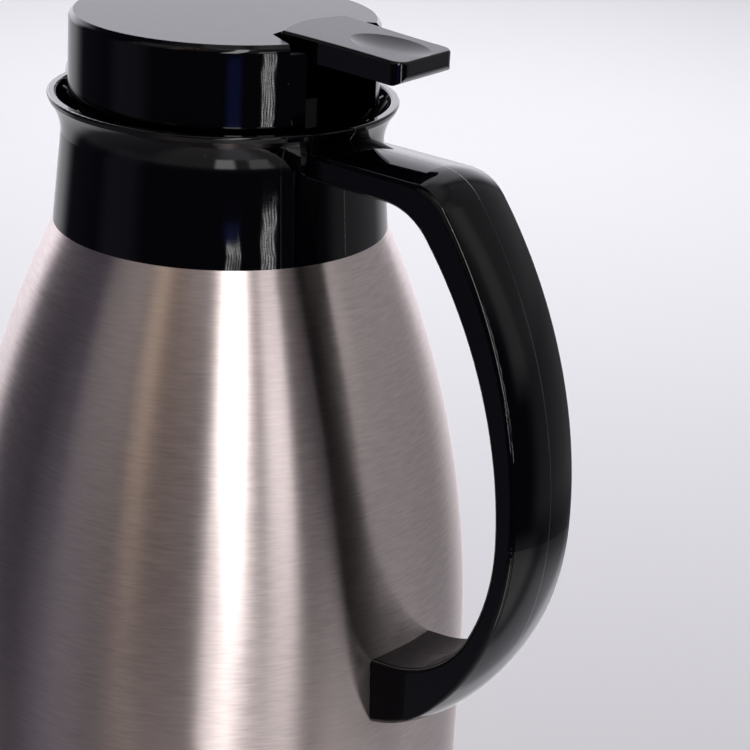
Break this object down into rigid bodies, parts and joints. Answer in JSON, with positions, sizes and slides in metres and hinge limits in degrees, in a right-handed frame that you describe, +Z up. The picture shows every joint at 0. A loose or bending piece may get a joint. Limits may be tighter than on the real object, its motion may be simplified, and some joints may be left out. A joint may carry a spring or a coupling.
{
  "type": "thermal carafe",
  "caption": "Round-shouldered steel vacuum carafe with a black collar, a tall bowed handle and a twist-in lid whose thumb lever opens a spring-loaded pouring valve.",
  "frame": {"origin": "centre of the flat base, on the surface that the carafe stands on", "axes": "+Z up the body's axis, +X towards the handle, -X towards the spout"},
  "size_m": [0.1875, 0.145, 0.2417],
  "materials": {
    "brushed_steel": "round-brushed stainless steel",
    "flask_steel": "plain stainless sheet",
    "getter_metal": "sintered metal pill",
    "black_plastic": "moulded black, glossy",
    "satin_plastic": "moulded black, satin",
    "inner_plastic": "moulded food-safe plastic",
    "black_rubber": "soft moulded rubber",
    "silicone": "translucent grey silicone",
    "screw_steel": "bright stainless fastener",
    "spring_steel": "bright spring wire"
  },
  "bodies": {
    "carafe": {"outer_shell": "brushed_steel", "inner_flask": "flask_steel", "base_plate": "flask_steel", "vacuum_seal_cap": "flask_steel", "getter": "getter_metal", "base_cover": "black_rubber", "collar": "black_plastic", "collar_clip": "inner_plastic", "neck_gasket": "silicone", "handle": "black_plastic", "handle_liner": "satin_plastic", "handle_bracket": "flask_steel", "handle_lower_screw": "screw_steel", "handle_plug": "black_plastic", "handle_arm_screws": "screw_steel"},
    "lid_seal": {"stopper_gasket": "silicone"},
    "lid": {"lid_cover": "black_plastic", "stopper": "inner_plastic", "lid_screws": "screw_steel", "lever_pin": "screw_steel", "stem_seal": "silicone"},
    "lever": {"thumb_lever": "black_plastic"},
    "valve": {"stem_cap": "inner_plastic", "valve_stem": "inner_plastic", "valve_spring": "spring_steel", "valve_disc": "inner_plastic", "valve_seal": "silicone", "valve_screw": "screw_steel"}
  },
  "joints": [
    {"name": "lid_lift", "type": "slide", "parent": "carafe", "child": "lid_seal", "axis": [0, 0, 1], "range_m": [0, 0.075]},
    {"name": "lid_turn", "type": "hinge", "parent": "lid_seal", "child": "lid", "pos_m": [0, 0, 0.2182], "axis": [0, 0, 1], "range_deg": [0, 90]},
    {"name": "lever_press", "type": "hinge", "parent": "lid", "child": "lever", "pos_m": [-0.01989, -0.00209, 0.2325], "axis": [-0.1045, 0.9945, 0], "range_deg": [0, 8], "stiffness_Nm_per_rad": 0.3, "springref_deg": -11.46},
    {"name": "valve_push", "type": "slide", "parent": "lid", "child": "valve", "axis": [0, 0, -1], "range_m": [0, 0.0028], "deforming": ["valve_spring"]}
  ],
  "couplings": [
    {"joint": "valve_push", "follows": "lever_press", "m_per_rad": 0.02}
  ]
}
